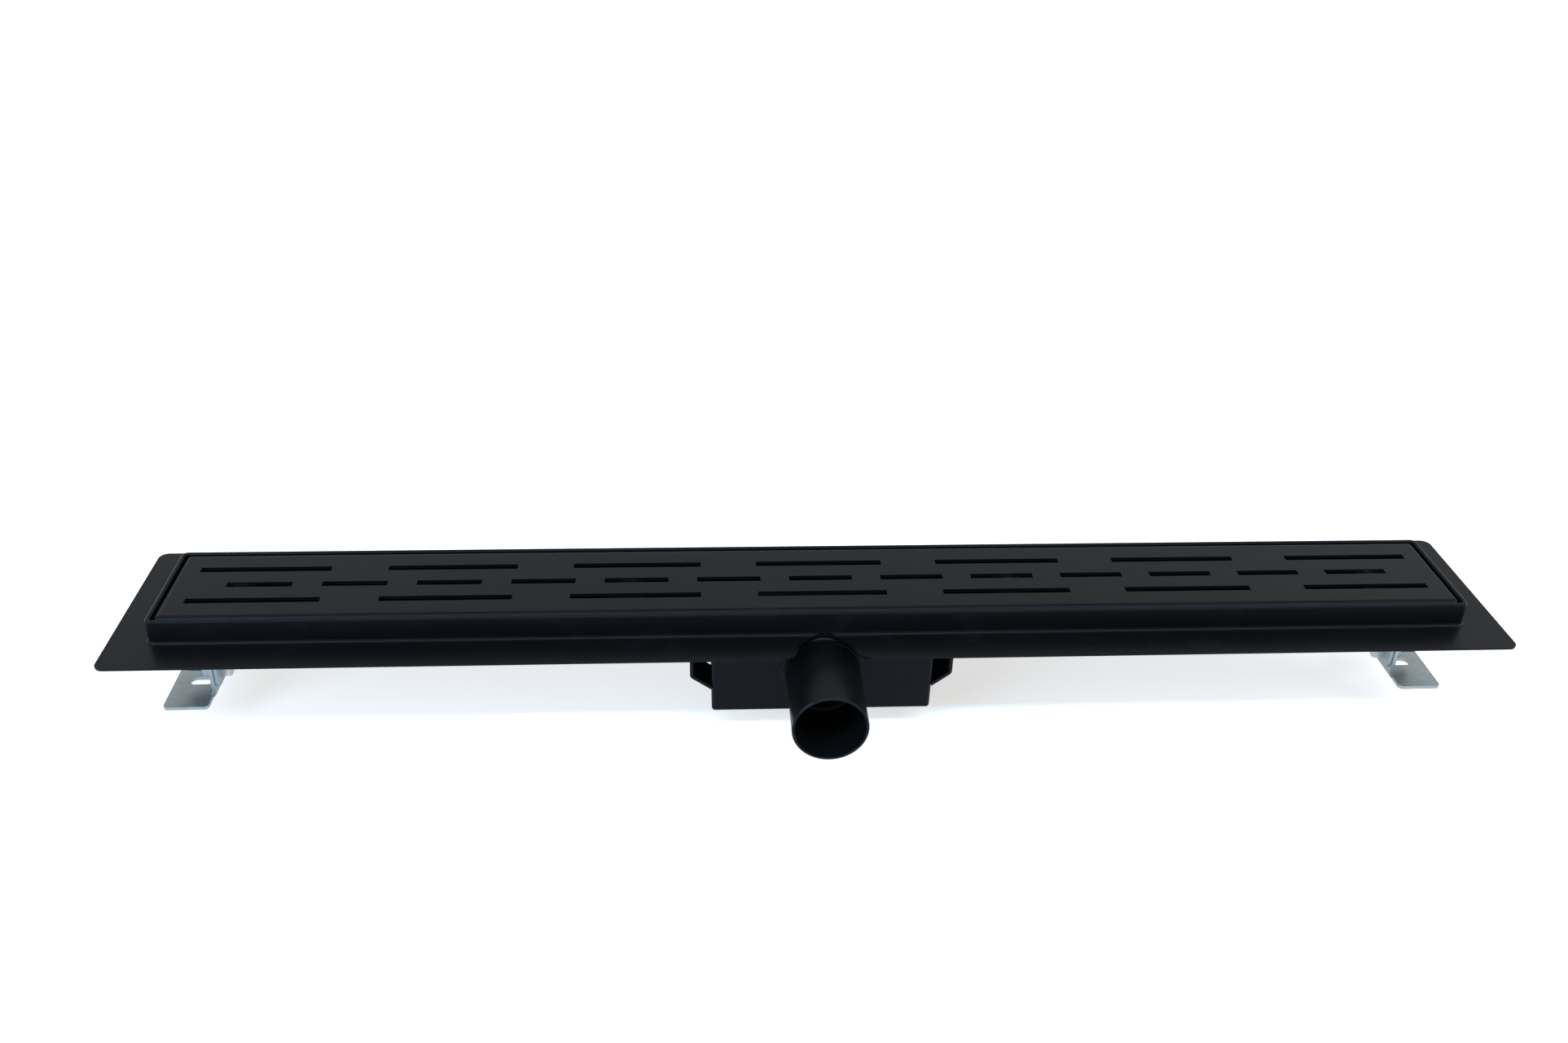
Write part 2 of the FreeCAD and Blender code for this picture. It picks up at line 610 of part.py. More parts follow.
def grate_inside(body, name, low, height):
    """The hollow inside the grate's turned-down edges."""
    made = new_sketch(body, name, offset=low)
    box_outline(made, "-grate_half_length + grate_sheet", "grate_half_length - grate_sheet",
                "-grate_half_width + grate_sheet", "grate_half_width - grate_sheet")
    hollow = pocket(body, made, height, back=True)
    inner = value("grate_half_width") - value("grate_sheet") + 0.1
    return soften(body, "Fillet", hollow, "grate_bend - grate_sheet", lambda box: abs(
        box.YMax) < inner and upright_edge(box))


def slot_outline(made, x, y, length):
    """A square-ended slot of the grate."""
    box_outline(made, f"{x} - {length} / 2", f"{x} + {length} / 2",
                f"{y} - slot_width / 2", f"{y} + slot_width / 2")


def build_grate():
    body = new_body("grate")
    pan = grate_outside(body, "pan", "grate_seam", "total_height - grate_seam")
    soften(body, "Fillet", pan, "grate_bend", lambda box: flat(box, "Z", "total_height"))
    grate_inside(body, "hollow", "grate_seam", "grate_under - grate_seam")
    made = new_sketch(body, "long_slots", offset="total_height")
    for row in ("slot_row", "-slot_row"):
        slot_outline(made, "-long_steps * slot_pitch", row, "slot_long")
    cut = pocket(body, made, "grate_sheet + 1")
    repeat(body, cut, "2 * long_steps * slot_pitch", "2 * long_steps + 1")
    made = new_sketch(body, "short_slots", offset="total_height")
    slot_outline(made, "-short_steps * slot_pitch / 2", "0", "slot_short")
    cut = pocket(body, made, "grate_sheet + 1")
    repeat(body, cut, "short_steps * slot_pitch", "2 * short_steps + 1")


def build_skirt():
    """The lower part of the grate's turned-down edges: two long sides and two ends."""
    low = "total_height - grate_depth"
    height = f"grate_seam - ({low})"
    inner = "grate_half_width - grate_sheet"
    for name, y_low, y_high in (("front", "-grate_half_width", f"-({inner})"),
                                ("back", inner, "grate_half_width")):
        body = new_body(f"grate_skirt_{name}")
        made = new_sketch(body, "side", offset=low)
        box_outline(made, "-skirt_half", "skirt_half", y_low, y_high)
        pad(body, made, height)
    far_x, far_y = f"(grate_half_length + {OUTSIDE})", f"(grate_half_width + {OUTSIDE})"
    for name, x_low, x_high in (("left", "-skirt_half", far_x), ("right", f"-{far_x}", "skirt_half")):
        body = new_body(f"grate_skirt_{name}")
        grate_outside(body, "ring", low, height)
        grate_inside(body, "hollow", low, height)
        cut_away(body, "other_parts", x_low, x_high, f"-{far_y}", far_y)


def floor_height(place):
    """Height of the trough's floor under a part that reaches out to `place`."""
    if value(place) > value("level_x"):
        return "end_floor"
    return f"mid_floor + (end_floor - mid_floor) * ({place} - fall_x) / (level_x - fall_x)"


def build_bridge(number, side, place):
    """A hat-shaped strip that carries the grate, with its spacer and screw."""
    x = f"{side} * ({place})"
    low = floor_height(f"{place} + bridge_width / 2")
    foot = "bridge_half"
    leg = "bridge_half - bridge_foot"
    seat = "grate_under - bridge_sink"
    steel = "bridge_sheet"
    body = new_body(f"grate_bridge_{number}")
    made = new_sketch(body, "hat", "YZ_Plane", f"{x} - bridge_width / 2")
    upper = [(foot, low), (foot, f"{low} + {steel}"), (leg, f"{low} + {steel}"),
             (leg, "grate_under"), ("bridge_seat", "grate_under"), ("bridge_seat", seat)]
    under = [("bridge_seat + bridge_sheet", f"{seat} - {steel}"),
             ("bridge_seat + bridge_sheet", f"grate_under - {steel}"),
             (f"{leg} - {steel}", f"grate_under - {steel}"), (f"{leg} - {steel}", low)]
    outline(made, upper + [(f"-({y})", z) for y, z in reversed(upper)]
            + [(f"-({y})", z) for y, z in reversed(under)] + under)
    pad(body, made, "bridge_width")
    made = new_sketch(body, "hole", offset=seat)
    circle(made, x, "0", "screw_radius + fit_gap")
    pocket(body, made, "bridge_sheet + 1")

    body = new_body(f"bridge_spacer_{number}")
    low = floor_height(f"{place} + spacer_flats / 2")
    made = new_sketch(body, "hex", offset=low)
    hexagon(made, x, "0", "spacer_flats")
    top = f"{seat} - {steel}"
    pad(body, made, f"{top} - ({low})")
    made = new_sketch(body, "bore", offset=top)
    circle(made, x, "0", "screw_radius + thread_gap")
    pocket(body, made, "screw_length")

    body = new_body(f"bridge_screw_{number}")
    made = new_sketch(body, "head", offset=seat)
    circle(made, x, "0", "screw_head / 2")
    head = pad(body, made, "screw_dome")
    soften(body, "Chamfer", head, "screw_dome * 0.5", lambda box: flat(
        box, "Z", f"{seat} + screw_dome"))
    made = new_sketch(body, "shank", offset=seat)
    circle(made, x, "0", "screw_radius")
    pad(body, made, "screw_length", back=True)
    made = new_sketch(body, "socket", offset=f"{seat} + screw_dome")
    hexagon(made, x, "0", "screw_diameter * 0.6")
    pocket(body, made, "screw_dome * 0.6")


# ---------------------------------------------------------------- feet

def build_bracket(side, turn):
    """The bracket under one end of the trough, with its weld stud and nut."""
    body = new_body(f"bracket_{side}", turn)
    made = new_sketch(body, "angle", "XZ_Plane")
    inner = "bracket_seat - bracket_tab"
    outline(made, [
        ("bracket_face", "bracket_floor"), ("bracket_face", "end_under"), (inner, "end_under"),
        (inner, "end_under - bracket_sheet"), ("bracket_seat", "end_under - bracket_sheet"),
        ("bracket_seat", "bracket_floor")])
    angle = pad(body, made, "bracket_width", both=True)
    angle = soften(body, "Fillet", angle, "bracket_bend", lambda box: flat(
        box, "X", "bracket_face") and flat(box, "Z", "end_under"))
    angle = soften(body, "Fillet", angle, "bracket_bend - bracket_sheet", lambda box: flat(
        box, "X", "bracket_seat") and flat(box, "Z", "end_under - bracket_sheet"))
    soften(body, "Fillet", angle, "bracket_bend", lambda box: flat(
        box, "Z", "bracket_floor") and box.YLength < 0.01)
    made = new_sketch(body, "bolt_hole", "YZ_Plane", "bracket_face")
    circle(made, "0", "bolt_height", "bolt_hole")
    pocket(body, made, "bracket_sheet + 1")
    made = new_sketch(body, "stud_hole", offset="end_under")
    circle(made, "stud_x", "0", "stud_diameter / 2 + fit_gap")
    pocket(body, made, "bracket_sheet + 1")

    body = new_body(f"bracket_stud_{side}", turn)
    made = new_sketch(body, "stud", offset="end_under - stud_reach")
    circle(made, "stud_x", "0", "stud_diameter / 2")
    stud = pad(body, made, "stud_reach")
    soften(body, "Chamfer", stud, "stud_diameter * 0.1", lambda box: flat(
        box, "Z", "end_under - stud_reach"))

    body = new_body(f"bracket_nut_{side}", turn)
    top = "end_under - bracket_sheet"
    made = new_sketch(body, "hex", offset=top)
    hexagon(made, "stud_x", "0", "small_nut_flats")
    pad(body, made, "small_nut_height", back=True)
    crown(body, "lower_corners", "y", "stud_x", f"{top} - small_nut_height", -1,
          "small_nut_flats")
    made = new_sketch(body, "bore", offset=top)
    circle(made, "stud_x", "0", "stud_diameter / 2 + thread_gap")
    pocket(body, made, "small_nut_height + 1")


def build_foot(side, turn):
    """A sliding foot: base plate with a floor slot, and an upright with the height slot."""
    body = new_body(f"foot_{side}", turn)
    made = new_sketch(body, "angle", "XZ_Plane")
    wing = "upright_face + foot_bend + 0.5"
    outline(made, [
        ("upright_face", "0"), (wing, "0"), (wing, "foot_sheet"), ("upright_back", "foot_sheet"),
        ("upright_back", "upright_height"), ("upright_face", "upright_height")])
    angle = pad(body, made, "upright_width", both=True)
    angle = soften(body, "Fillet", angle, "foot_bend", lambda box: flat(
        box, "X", "upright_face") and flat(box, "Z", "0"))
    angle = soften(body, "Fillet", angle, "foot_bend - foot_sheet", lambda box: flat(
        box, "X", "upright_back") and flat(box, "Z", "foot_sheet"))
    soften(body, "Fillet", angle, "upright_corner", lambda box: flat(
        box, "Z", "upright_height") and box.YLength < 0.01)
    made = new_sketch(body, "base")
    tip = "upright_face + foot_reach"
    outline(made, [
        (wing, "-upright_width / 2"), ("upright_back", "-upright_width / 2"),
        ("upright_back", "-foot_depth / 2"), (tip, "-foot_depth / 2"), (tip, "foot_depth / 2"),
        ("upright_back", "foot_depth / 2"), ("upright_back", "upright_width / 2"),
        (wing, "upright_width / 2")])
    base = pad(body, made, "foot_sheet")
    soften(body, "Fillet", base, "foot_corner", lambda box: upright_edge(box)
           and abs(abs(box.YMin) - value("foot_depth") / 2) < 0.01)
    made = new_sketch(body, "floor_slot", offset="foot_sheet")
    pill(made, "upright_face + foot_slot_out", "0", "foot_slot_length", "foot_slot_width")
    pocket(body, made, "foot_sheet + 1")
    made = new_sketch(body, "height_slot", "YZ_Plane", "upright_back")
    pill(made, "0", "bolt_height + foot_travel / 2", "foot_travel + 2 * bolt_hole",
         "2 * bolt_hole", upright=True)
    pocket(body, made, "foot_sheet + 1")


def build_clamp(side, turn):
    """The bolt through bracket and foot, with its washer and nut."""
    body = new_body(f"bolt_{side}", turn)
    made = new_sketch(body, "head", "YZ_Plane", "bracket_seat - bolt_head")
    hexagon(made, "0", "bolt_height", "bolt_flats")
    pad(body, made, "bolt_head")
    crown(body, "head_corners", "x", "bolt_height", "bracket_seat - bolt_head", -1, "bolt_flats")
    made = new_sketch(body, "shank", "YZ_Plane", "bracket_seat")
    circle(made, "0", "bolt_height", "bolt_diameter / 2")
    shank = pad(body, made, "bolt_length")
    soften(body, "Chamfer", shank, "bolt_diameter * 0.12", lambda box: flat(
        box, "X", "bracket_seat + bolt_length"))

    body = new_body(f"washer_{side}", turn)
    made = new_sketch(body, "ring", "YZ_Plane", "washer_face")
    circle(made, "0", "bolt_height", "washer_diameter / 2")
    circle(made, "0", "bolt_height", "bolt_hole")
    pad(body, made, "washer_sheet")

    body = new_body(f"nut_{side}", turn)
    made = new_sketch(body, "hex", "YZ_Plane", "nut_face")
    hexagon(made, "0", "bolt_height", "bolt_flats")
    pad(body, made, "nut_height")
    crown(body, "nut_corners", "x", "bolt_height", "nut_face + nut_height", 1, "bolt_flats")
    made = new_sketch(body, "bore", "YZ_Plane", "nut_face + nut_height")
    circle(made, "0", "bolt_height", "bolt_diameter / 2 + thread_gap")
    pocket(body, made, "nut_height + 1")


# ---------------------------------------------------------------- trap and strainer

def build_trap():
    body = new_body("trap_body")
    half = "trap_width / 2"
    room = "(trap_width / 2 - trap_wall)"
    front = "-trap_front + trap_wall"
    made = new_sketch(body, "block", offset="trap_base")
    box_outline(made, f"-{half}", half, "-trap_front", "trap_rear")
    block = pad(body, made, "trap_top - trap_base")
    soften(body, "Fillet", block, "trap_wall", upright_edge)
    made = new_sketch(body, "spigot", "XZ_Plane", "trap_front")
    circle(made, "0", "pipe_height", "spigot_radius")
    spigot = pad(body, made, "spigot_end - trap_front")
    soften(body, "Chamfer", spigot, "spigot_wall * 0.3", lambda box: flat(
        box, "Y", "-spigot_end"))
    made = new_sketch(body, "basin", offset="trap_top")
    box_outline(made, f"-{room}", room, front, "trap_weir_y")
    pocket(body, made, "trap_top - pipe_height + spigot_bore + 2")
    made = new_sketch(body, "riser", offset="trap_top")
    box_outline(made, f"-{room}", room, "trap_weir_y + trap_wall", "trap_rear - trap_wall")
    pocket(body, made, "trap_top")
    made = new_sketch(body, "over_weir", offset="trap_top")
    box_outline(made, f"-{room}", room, "trap_weir_y - 1", "trap_weir_y + trap_wall + 1")
    pocket(body, made, "trap_top - trap_weir")
    made = new_sketch(body, "under_basin", offset="trap_base")
    box_outline(made, f"-{room}", room, front, "trap_weir_y")
    pocket(body, made, "pipe_height - spigot_bore - 2 - trap_wall - trap_base", back=True)
    made = new_sketch(body, "mouth", "XZ_Plane", "-trap_rear")
    box_outline(made, f"-{room}", room, "0", "trap_dip")
    pocket(body, made, "trap_wall + 1", back=False)
    made = new_sketch(body, "spigot_bore", "XZ_Plane", "spigot_end")
    circle(made, "0", "pipe_height", "spigot_bore")
    pocket(body, made, "spigot_end - trap_front + trap_wall + 1")
    made = new_sketch(body, "seal_groove", "XZ_Plane", "seal_y - seal_section / 2 - 0.1")
    circle(made, "0", "pipe_height", "spigot_radius + 1")
    circle(made, "0", "pipe_height", "pipe_bore - seal_section - 0.1")
    pocket(body, made, "seal_section + 0.2", back=True)

    body = new_body("trap_seal")
    made = new_sketch(body, "ring", "XZ_Plane", "seal_y - seal_section / 2")
    circle(made, "0", "pipe_height", "pipe_bore - 0.05")
    circle(made, "0", "pipe_height", "pipe_bore - 0.05 - seal_section")
    pad(body, made, "seal_section")

    body = new_body("trap_cap")
    made = new_sketch(body, "lid", offset="trap_top")
    box_outline(made, f"-{half}", half, "-trap_front", "trap_rear")
    lid = pad(body, made, "cap_flange")
    soften(body, "Fillet", lid, "trap_wall", upright_edge)
    made = new_sketch(body, "plug", offset="trap_top")
    box_outline(made, f"-{room} + fit_gap", f"{room} - fit_gap", f"{front} + fit_gap",
                "trap_rear - trap_wall - fit_gap")
    pad(body, made, "cap_plug", back=True)
    made = new_sketch(body, "grip", offset="trap_top + cap_flange")
    box_outline(made, "-trap_width / 5", "trap_width / 5", "-trap_front / 2 - trap_wall",
                "-trap_front / 2 + trap_wall")
    grip = pad(body, made, "cap_grip")
    soften(body, "Fillet", grip, "trap_wall * 0.5", lambda box: flat(
        box, "Z", "trap_top + cap_flange + cap_grip"))


def strip_bow(made, half, rise, foot, low, steel):
    """Side view of a strip bent into a hat: feet, two walls and a level top."""
    upper = [(f"{half} + {foot}", low), (f"{half} + {foot}", f"{low} + {steel}"),
             (half, f"{low} + {steel}"), (half, f"{low} + {rise}")]
    under = [(f"{half} - {steel}", f"{low} + {rise} - {steel}"), (f"{half} - {steel}", low)]
    outline(made, upper + [(f"-({x})", z) for x, z in reversed(upper)]
            + [(f"-({x})", z) for x, z in reversed(under)] + under)


def build_strainer():
    """A bent strip over the sump's opening, resting on the trough's floor at both sides."""
    body = new_body("hair_strainer")
    low = "(" + floor_height("sump_half + strainer_rim") + ")"
    half = "(sump_half - 2 * strainer_sheet)"
    made = new_sketch(body, "bow", "XZ_Plane")
    strip_bow(made, half, f"(strainer_top - {low})", "(strainer_rim + 2 * strainer_sheet)", low,
              "strainer_sheet")
    bow = pad(body, made, "2 * strainer_half_width", both=True)
    soften(body, "Fillet", bow, "strainer_sheet * 1.5", lambda box: flat(box, "Z", "strainer_top")
           and near(abs(box.XMin), half) and near(abs(box.XMax), half) and box.XLength < 1)
    made = new_sketch(body, "slots", offset="strainer_top")
    steps = f"floor(({half} - 2 * strainer_slot_width) / strainer_pitch)"
    for row in ("-strainer_row", "strainer_row"):
        pill(made, f"-{steps} * strainer_pitch", row, "strainer_slot", "strainer_slot_width",
             upright=True)
    cut = pocket(body, made, "strainer_sheet + 1")
    repeat(body, cut, f"2 * {steps} * strainer_pitch", f"2 * {steps} + 1")

    body = new_body("strainer_handle")
    made = new_sketch(body, "bow", "XZ_Plane", "handle_y")
    strip_bow(made, "handle_span / 2", "handle_rise", "handle_foot", "strainer_top",
              "handle_sheet")
    bow = pad(body, made, "handle_width", both=True)
    soften(body, "Fillet", bow, "handle_sheet * 1.5", lambda box: flat(
        box, "Z", "strainer_top + handle_rise") and box.XLength < 1)


# ---------------------------------------------------------------- build, check and export

def check():
    """Stops on any feature that failed and on any body without one sound solid."""
    for item in doc.Objects:
        if "Invalid" in item.State or "Error" in item.State:
            raise RuntimeError(f"{item.Name} did not compute")
    for item in bodies():
        if item.Shape.isNull() or not item.Shape.isValid() or len(item.Shape.Solids) != 1:
            raise RuntimeError(f"{item.Label} is not one sound solid")


def bodies():
    return [item for item in doc.Objects if item.TypeId == "PartDesign::Body"]


def main():
    fill_sheet()
    build_channel("channel_left", -1, 0)
    build_channel("channel_right", 1, 0)
    build_channel("channel_front", 0, -1)
    build_channel("channel_back", 0, 1)
    build_sump()
    build_pipe()
    for name, side in (("left", -1), ("right", 1)):
        build_brace(f"brace_{name}", side)
        turn = Placement(Vector(0, 0, 0), Rotation(Vector(0, 0, 1), 180 if side < 0 else 0))
        build_bracket(name, turn)
        build_foot(name, turn)
        build_clamp(name, turn)
    build_grate()
    build_skirt()
    for number, (side, steps) in enumerate(((-1, 1.5), (-1, 0.5), (1, 0.5), (1, 1.5)), 1):
        build_bridge(number, side, f"bridge_step * {steps}")
    build_trap()
    build_strainer()
    doc.recompute()
    check()
    os.makedirs("parts", exist_ok=True)
    for item in bodies():
        item.Shape.exportStep(f"parts/{item.Label}.step")


main()
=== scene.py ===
"""Looks of a long shower channel drain with a slotted grate, a central sump and side outlet."""

import json
import math

import bpy
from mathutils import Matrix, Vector

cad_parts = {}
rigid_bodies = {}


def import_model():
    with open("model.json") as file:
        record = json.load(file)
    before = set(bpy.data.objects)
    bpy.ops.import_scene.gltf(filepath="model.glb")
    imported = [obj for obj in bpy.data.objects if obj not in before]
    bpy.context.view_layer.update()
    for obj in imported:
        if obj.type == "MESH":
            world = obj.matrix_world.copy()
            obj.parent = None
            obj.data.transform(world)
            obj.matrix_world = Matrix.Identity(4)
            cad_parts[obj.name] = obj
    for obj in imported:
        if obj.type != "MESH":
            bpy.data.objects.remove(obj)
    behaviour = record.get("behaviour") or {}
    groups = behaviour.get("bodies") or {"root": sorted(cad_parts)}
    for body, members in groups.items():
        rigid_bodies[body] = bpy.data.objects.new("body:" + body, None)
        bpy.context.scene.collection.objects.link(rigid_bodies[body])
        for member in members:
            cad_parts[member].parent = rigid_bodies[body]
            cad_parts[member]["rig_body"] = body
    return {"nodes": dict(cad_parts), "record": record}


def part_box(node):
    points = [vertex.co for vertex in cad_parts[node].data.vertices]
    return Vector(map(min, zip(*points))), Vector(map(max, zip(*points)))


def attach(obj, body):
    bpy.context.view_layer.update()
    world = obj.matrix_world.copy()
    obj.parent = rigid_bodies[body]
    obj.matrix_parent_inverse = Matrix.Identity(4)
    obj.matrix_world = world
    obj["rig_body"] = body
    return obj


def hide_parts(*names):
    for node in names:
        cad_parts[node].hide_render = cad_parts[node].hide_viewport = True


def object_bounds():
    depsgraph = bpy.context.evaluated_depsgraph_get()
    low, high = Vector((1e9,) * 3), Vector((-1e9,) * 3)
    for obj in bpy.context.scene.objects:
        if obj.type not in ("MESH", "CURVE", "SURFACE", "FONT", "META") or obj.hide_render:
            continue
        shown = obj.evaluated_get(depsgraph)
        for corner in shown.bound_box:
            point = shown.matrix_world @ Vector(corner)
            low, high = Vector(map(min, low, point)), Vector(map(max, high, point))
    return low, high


bl_info = {
    "name": "Channel drain",
    "version": (1, 0, 0),
    "blender": (4, 5, 0),
    "location": "3D View > Sidebar > Channel drain",
    "description": "Finishes and small hardware of a slotted channel drain, with its stage",
    "category": "Object",
}

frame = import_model()
CAD_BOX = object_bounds()


# ---------------------------------------------------------------- sizes and colours

def colour(name, description, value):
    return bpy.props.FloatVectorProperty(
        name=name, description=description, default=value, size=3, min=0, max=1, subtype="COLOR")


def length(name, description, value):
    return bpy.props.FloatProperty(
        name=name, description=description, default=value, min=0, unit="LENGTH",
        subtype="DISTANCE", precision=5)


def share(name, description, value):
    return bpy.props.FloatProperty(
        name=name, description=description, default=value, min=0, max=1, subtype="FACTOR")


class CoatSizes(bpy.types.PropertyGroup):
    coat: colour("Coat", "Colour of the black powder coat", (0.0037, 0.0038, 0.0043))
    worn: colour("Rubbed coat", "Colour where the coat has been handled", (0.0050, 0.0055, 0.0063))
    sheen: colour("Reflection", "Tint of the coat's reflections", (0.76, 0.86, 1.0))
    gloss: share("Gloss", "Specular level of the coat", 0.10)
    rough: share("Roughness", "Mean roughness of the coat", 0.33)
    grain: length("Grain", "Width of the coat's orange peel", 0.0011)


class SteelSizes(bpy.types.PropertyGroup):
    galvanised: colour("Galvanised", "Colour of the galvanised feet", (0.30, 0.355, 0.375))
    zinc: colour("Zinc", "Colour of the zinc plated fasteners", (0.60, 0.61, 0.62))
    spangle: length("Spangle", "Width of the crystals on galvanised sheet", 0.0045)


class FastenerSizes(bpy.types.PropertyGroup):
    bolt_thread: length("Bolt thread", "Diameter of the foot bolts' thread", 0.006)
    bolt_pitch: length("Bolt pitch", "Pitch of the foot bolts' thread", 0.001)
    bolt_flats: length("Bolt flats", "Width of bolt heads and nuts across their flats", 0.010)
    bolt_head: length("Bolt head", "Thickness of the foot bolts' heads", 0.004)
    stud_thread: length("Stud thread", "Diameter of the studs' and screws' thread", 0.005)
    stud_pitch: length("Stud pitch", "Pitch of the studs' and screws' thread", 0.0008)
    stud_flats: length("Stud nut flats", "Width of the bracket nuts across their flats", 0.008)
    screw_head: length("Screw head", "Height of the bridge screws' domed heads", 0.003)
    socket: length("Socket", "Width of the screws' hexagon socket across its flats", 0.003)
    clearance: length("Clearance", "Gap between a thread and its nut", 0.00005)


class PlasticSizes(bpy.types.PropertyGroup):
    trap: colour("Trap", "Colour of the moulded trap", (0.012, 0.012, 0.013))
    seal: colour("Seal", "Colour of the rubber seal", (0.016, 0.016, 0.016))


class StageSizes(bpy.types.PropertyGroup):
    floor: colour("Floor", "Colour of the floor", (0.90, 0.90, 0.90))
    glow: share("Floor glow", "What the floor adds to its own colour where it is looked at", 0.58)
    sky: colour("Sky", "Light that comes from all round", (0.46, 0.45, 0.435))
    cool: colour("Cool lamps", "Colour of the front and left lamps", (0.52, 0.75, 1.0))
    warm: colour("Warm lamp", "Colour of the right lamp", (1.0, 0.86, 0.70))
    reach: length("Floor size", "Half width of the floor", 6.0)
    room: length("Room for the feet", "How far below the sump the floor lies, so that the feet can "
                 "slide down all the way", 0.0152)
    eye: bpy.props.FloatVectorProperty(
        name="Eye", description="Place of the camera", size=3, unit="LENGTH",
        subtype="TRANSLATION", default=(-0.068302, -0.645173, 0.484330))
    turn: bpy.props.FloatVectorProperty(
        name="Turn", description="Turn of the camera about X, Y and Z", size=3, unit="ROTATION",
        subtype="EULER", default=(1.035678, -0.024274, -0.059002))
    lens: bpy.props.FloatProperty(
        name="Lens", description="Focal length", default=32.440, min=10, max=200, unit="CAMERA")


# ---------------------------------------------------------------- shader maths

class Term:
    """The socket of a node, for expressions such as 1 - mask * 0.5."""

    def __init__(self, nodes, socket):
        self.nodes = nodes
        self.socket = socket

    def joined(self, operation, first, second):
        return self.nodes.node("ShaderNodeMath", {"operation": operation}, {0: first, 1: second})

    def __add__(self, other):
        return self.joined("ADD", self, other)

    def __radd__(self, other):
        return self.joined("ADD", other, self)

    def __sub__(self, other):
        return self.joined("SUBTRACT", self, other)

    def __rsub__(self, other):
        return self.joined("SUBTRACT", other, self)

    def __mul__(self, other):
        return self.joined("MULTIPLY", self, other)

    def __rmul__(self, other):
        return self.joined("MULTIPLY", other, self)


class Nodes:
    """The nodes of a material or of the world."""

    def __init__(self, owner):
        owner.use_nodes = True
        self.owner = owner
        self.tree = owner.node_tree
        self.tree.nodes.clear()

    def node(self, kind, settings=None, values=None, output=0):
        """Adds a node: its settings first, then the values or links of its sockets."""
        made = self.tree.nodes.new(kind)
        for name, setting in (settings or {}).items():
            setattr(made, name, setting)
        for name, entry in (values or {}).items():
            if isinstance(entry, Term):
                self.tree.links.new(entry.socket, made.inputs[name])
            else:
                made.inputs[name].default_value = entry
        return Term(self, made.outputs[output]) if made.outputs else None

    def spread(self, term, low, high):
        """Stretches the range from low to high over 0 to 1."""
        return self.node("ShaderNodeMapRange", {"clamp": True}, {
            "Value": term, "From Min": low, "From Max": high}, "Result")

    def blend(self, factor, first, second):
        """Mixes two colours. A Mix node takes them in sockets 6 and 7 and gives output 2."""
        return self.node("ShaderNodeMix", {"data_type": "RGBA"}, {
            0: factor, 6: first, 7: second}, 2)

    def looked_at(self):
        """One where the camera, a reflection or a clear piece sees it, else nought."""
        rays = [self.node("ShaderNodeLightPath", output=name)
                for name in ("Is Camera Ray", "Is Glossy Ray", "Is Transmission Ray")]
        return self.spread(rays[0] + rays[1] + rays[2], 0, 1)


class Finish(Nodes):
    """A material, with the patterns that its finish is made of."""

    def __init__(self, name):
        super().__init__(bpy.data.materials.new(name))
        self.places = self.node("ShaderNodeTexCoord", output="Object")

    def noise(self, width, detail=2.0, rough=0.5, at=None):
        """A cloudy pattern whose largest spots are about as wide as given, in metres."""
        return self.node("ShaderNodeTexNoise", {}, {
            "Vector": at or self.places, "Scale": 1 / width, "Detail": detail,
            "Roughness": rough})

    def stretched(self, scale):
        """The places, closer or further apart along each axis."""
        return self.node("ShaderNodeMapping", {}, {"Vector": self.places, "Scale": scale}, "Vector")

    def bump(self, height, depth, strength, under=None):
        """A relief of a depth in metres, over another one where given."""
        values = {"Height": height, "Distance": depth, "Strength": strength}
        if under:
            values["Normal"] = under
        return self.node("ShaderNodeBump", {}, values, "Normal")

    def close(self, values):
        shader = self.node("ShaderNodeBsdfPrincipled", {}, values, "BSDF")
        self.node("ShaderNodeOutputMaterial", {}, {"Surface": shader})
        return self.owner


def tint(value, times=1.0):
    """A colour with its alpha, made lighter or darker."""
    return (*(min(part * times, 1) for part in value), 1)


def powder_coat(sizes):
    """Satin black powder coat: fine orange peel, faint clouds and rubbed places."""
    finish = Finish("black_powder_coat")
    cloud_width, mark_width = 0.045, 0.012
    peel = finish.noise(sizes.grain, 2.0, 0.55)
    fine = finish.noise(sizes.grain / 4, 1.0, 0.5)
    cloud = finish.noise(cloud_width, 3.0, 0.6)
    marks = finish.noise(mark_width, 4.0, 0.65)
    rubbed = finish.spread(marks * cloud, 0.26, 0.42)
    shade = finish.blend(rubbed, tint(sizes.coat), tint(sizes.worn))
    rough = sizes.rough - 0.05 + cloud * 0.08 + rubbed * 0.05
    under = finish.bump(fine, 0.00002, 0.35)
    return finish.close({
        "Base Color": shade, "Roughness": rough,
        "Normal": finish.bump(peel, 0.00006, 0.3, under),
        "Specular IOR Level": sizes.gloss, "Specular Tint": tint(sizes.sheen)})


